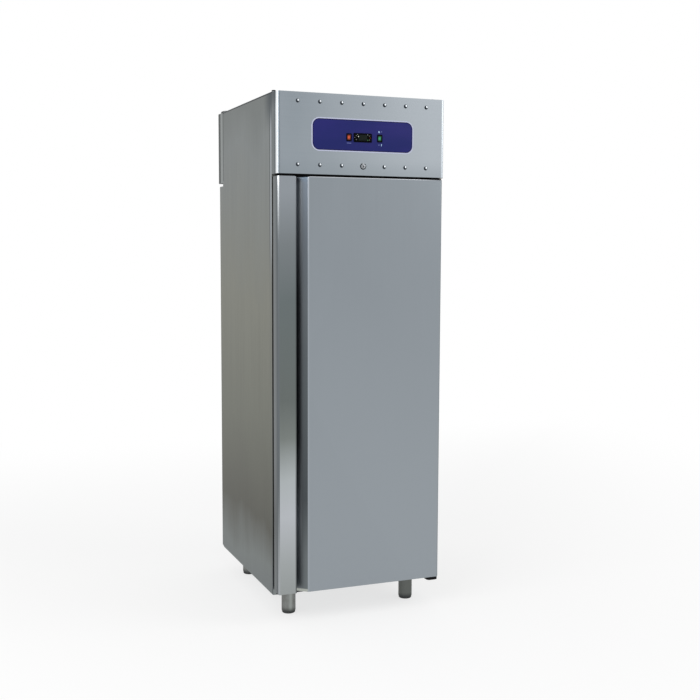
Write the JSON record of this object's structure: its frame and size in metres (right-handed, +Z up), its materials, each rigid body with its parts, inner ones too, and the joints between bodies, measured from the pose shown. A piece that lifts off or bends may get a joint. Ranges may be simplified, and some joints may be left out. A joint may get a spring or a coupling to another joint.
{
  "type": "upright freezer",
  "caption": "Tall stainless steel commercial freezer on legs, with a full-height hinged door, inner wire shelves and a refrigeration unit on top.",
  "frame": {"origin": "on the floor, under the middle of the whole object", "axes": "+Z up, +Y from the door to the back, +X to the right of someone who faces the door"},
  "size_m": [0.71, 0.876, 2.116],
  "materials": {
    "stainless_side": "brushed upright, satin",
    "stainless_front": "brushed, satin",
    "stainless_inner": "satin",
    "stainless_round": "turned, satin",
    "frame_plastic": "moulded, satin",
    "galvanised": "zinc coated, dull",
    "cover_steel": "zinc coated, dull",
    "foam": "rigid polyurethane foam",
    "gasket": "soft PVC, dull",
    "rubber_mount": "dull",
    "label_film": "printed film, satin",
    "black_plastic": "moulded, satin",
    "window": "tinted, glossy",
    "key_plastic": "moulded, satin",
    "rocker_red": "moulded, glossy",
    "rocker_green": "moulded, glossy",
    "lock_metal": "plated, polished",
    "bolt_steel": "bright steel",
    "hinge_black": "powder coat, satin",
    "bush_plastic": "moulded, dull",
    "shelf_wire": "plastic coated wire",
    "unit_black": "enamel, satin",
    "copper": "drawn, tarnished",
    "fin_aluminium": "mill finish",
    "heater_steel": "sheathed, oxidised"
  },
  "bodies": {
    "cabinet": {"side_panel_left": "stainless_side", "side_panel_right": "stainless_side", "back_panel": "galvanised", "base_panel": "galvanised", "roof_panel": "galvanised", "body_foam": "foam", "inner_liner": "stainless_inner", "front_frame": "frame_plastic", "shelf_uprights": "stainless_inner", "shelf_runners": "stainless_inner", "fascia_panel": "stainless_front", "fascia_rails": "galvanised", "fascia_bolts": "bolt_steel", "control_label": "label_film", "controller_case": "black_plastic", "controller_window": "window", "switch_housings": "black_plastic", "lock_barrel": "lock_metal", "top_cover": "cover_steel", "rear_cover": "cover_steel", "cover_bolts": "bolt_steel", "hinge_top": "hinge_black", "hinge_bottom": "hinge_black", "legs": "stainless_round", "unit_base": "galvanised", "compressor": "unit_black", "compressor_mounts": "rubber_mount", "condenser_coil": "fin_aluminium", "condenser_shroud": "galvanised", "condenser_fan_motor": "unit_black", "filter_drier": "copper", "refrigerant_pipes": "copper", "electrical_box": "galvanised", "evaporator_housing": "stainless_inner", "evaporator_coil": "fin_aluminium", "evaporator_fan_motor": "unit_black", "defrost_heater": "heater_steel", "air_duct": "stainless_inner", "drain_pipe": "bush_plastic"},
    "door": {"door_skin": "stainless_front", "door_foam": "foam", "door_liner": "stainless_inner", "door_gasket": "gasket", "door_bushes": "bush_plastic"},
    "wire_shelf_1": {"wire_shelf_1": "shelf_wire"},
    "wire_shelf_2": {"wire_shelf_2": "shelf_wire"},
    "wire_shelf_3": {"wire_shelf_3": "shelf_wire"},
    "controller_key_1": {"controller_key_1": "key_plastic"},
    "controller_key_2": {"controller_key_2": "key_plastic"},
    "controller_key_3": {"controller_key_3": "key_plastic"},
    "controller_key_4": {"controller_key_4": "key_plastic"},
    "red_rocker": {"red_rocker": "rocker_red"},
    "green_rocker": {"green_rocker": "rocker_green"},
    "lock_core": {"lock_core": "lock_metal"},
    "condenser_fan": {"condenser_fan": "black_plastic"},
    "evaporator_fan": {"evaporator_fan": "black_plastic"},
    "foot_front_left": {"foot_front_left": "stainless_round"},
    "foot_front_right": {"foot_front_right": "stainless_round"},
    "foot_rear_left": {"foot_rear_left": "stainless_round"},
    "foot_rear_right": {"foot_rear_right": "stainless_round"}
  },
  "joints": [
    {"name": "door_hinge", "type": "hinge", "parent": "cabinet", "child": "door", "pos_m": [0.329, -0.409, 0.952], "axis": [0, 0, 1], "range_deg": [0, 105]},
    {"name": "shelf_1_slide", "type": "slide", "parent": "cabinet", "child": "wire_shelf_1", "axis": [0, -1, 0], "range_m": [0, 0.025]},
    {"name": "shelf_2_slide", "type": "slide", "parent": "cabinet", "child": "wire_shelf_2", "axis": [0, -1, 0], "range_m": [0, 0.025]},
    {"name": "shelf_3_slide", "type": "slide", "parent": "cabinet", "child": "wire_shelf_3", "axis": [0, -1, 0], "range_m": [0, 0.025]},
    {"name": "key_1_press", "type": "slide", "parent": "cabinet", "child": "controller_key_1", "axis": [0, 1, 0], "range_m": [0, 0.0006], "stiffness_N_per_m": 600, "springref_m": -0.0006},
    {"name": "key_2_press", "type": "slide", "parent": "cabinet", "child": "controller_key_2", "axis": [0, 1, 0], "range_m": [0, 0.0006], "stiffness_N_per_m": 600, "springref_m": -0.0006},
    {"name": "key_3_press", "type": "slide", "parent": "cabinet", "child": "controller_key_3", "axis": [0, 1, 0], "range_m": [0, 0.0006], "stiffness_N_per_m": 600, "springref_m": -0.0006},
    {"name": "key_4_press", "type": "slide", "parent": "cabinet", "child": "controller_key_4", "axis": [0, 1, 0], "range_m": [0, 0.0006], "stiffness_N_per_m": 600, "springref_m": -0.0006},
    {"name": "red_rocker_tilt", "type": "hinge", "parent": "cabinet", "child": "red_rocker", "pos_m": [-0.061, -0.4335, 1.935], "axis": [1, 0, 0], "range_deg": [-16, 0]},
    {"name": "green_rocker_tilt", "type": "hinge", "parent": "cabinet", "child": "green_rocker", "pos_m": [0.07, -0.4335, 1.935], "axis": [1, 0, 0], "range_deg": [-16, 0]},
    {"name": "lock_turn", "type": "hinge", "parent": "cabinet", "child": "lock_core", "pos_m": [0, -0.425, 1.824], "axis": [0, -1, 0], "range_deg": [0, 90]},
    {"name": "condenser_fan_spin", "type": "hinge", "parent": "cabinet", "child": "condenser_fan", "pos_m": [-0.11, 0.151, 1.916], "axis": [0, 1, 0], "continuous": true},
    {"name": "evaporator_fan_spin", "type": "hinge", "parent": "cabinet", "child": "evaporator_fan", "pos_m": [0, -0.1525, 1.6235], "axis": [0, 1, 0], "continuous": true},
    {"name": "foot_front_left_screw", "type": "slide", "parent": "cabinet", "child": "foot_front_left", "axis": [0, 0, -1], "range_m": [0, 0.05]},
    {"name": "foot_front_right_screw", "type": "slide", "parent": "cabinet", "child": "foot_front_right", "axis": [0, 0, -1], "range_m": [0, 0.05]},
    {"name": "foot_rear_left_screw", "type": "slide", "parent": "cabinet", "child": "foot_rear_left", "axis": [0, 0, -1], "range_m": [0, 0.05]},
    {"name": "foot_rear_right_screw", "type": "slide", "parent": "cabinet", "child": "foot_rear_right", "axis": [0, 0, -1], "range_m": [0, 0.05]}
  ]
}
